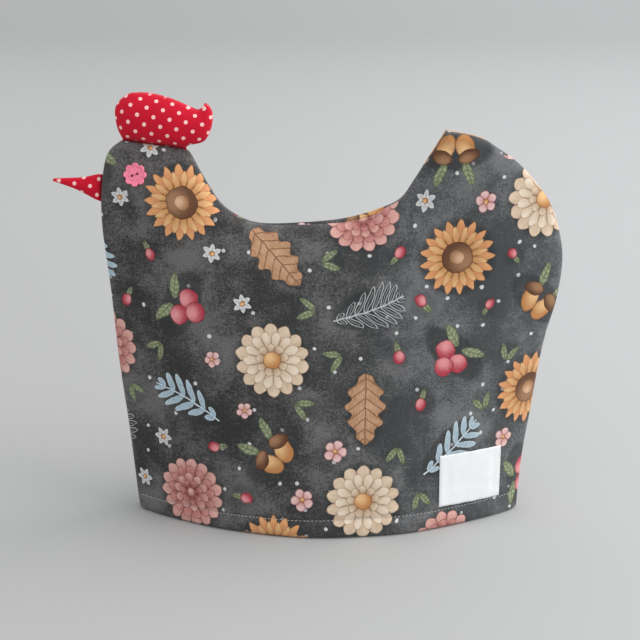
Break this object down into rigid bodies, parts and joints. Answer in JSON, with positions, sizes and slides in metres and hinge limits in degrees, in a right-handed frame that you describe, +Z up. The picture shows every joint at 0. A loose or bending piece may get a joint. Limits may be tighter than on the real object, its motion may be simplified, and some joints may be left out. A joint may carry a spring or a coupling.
{
  "type": "tea cosy",
  "caption": "Padded cotton tea cosy in the shape of a hen, open along its hem, with a stuffed comb and beak, button eyes and a blank sewn label.",
  "frame": {"origin": "on the surface the hem rests on, in the middle of the whole object's box", "axes": "+X from the beak to the tail, +Y from the front panel to the back panel, +Z up"},
  "size_m": [0.3718, 0.1324, 0.3151],
  "materials": {
    "printed_cotton": "matt plain weave, tossed print on charcoal",
    "polka_dot_cotton": "matt plain weave, pale dots on red",
    "button_plastic": "satin moulded",
    "label_ribbon": "smooth woven ribbon"
  },
  "bodies": {
    "root": {"front_panel": "printed_cotton", "back_panel": "printed_cotton", "comb": "polka_dot_cotton", "beak": "polka_dot_cotton", "button_eye_front": "button_plastic", "button_eye_back": "button_plastic", "label": "label_ribbon"}
  },
  "joints": []
}
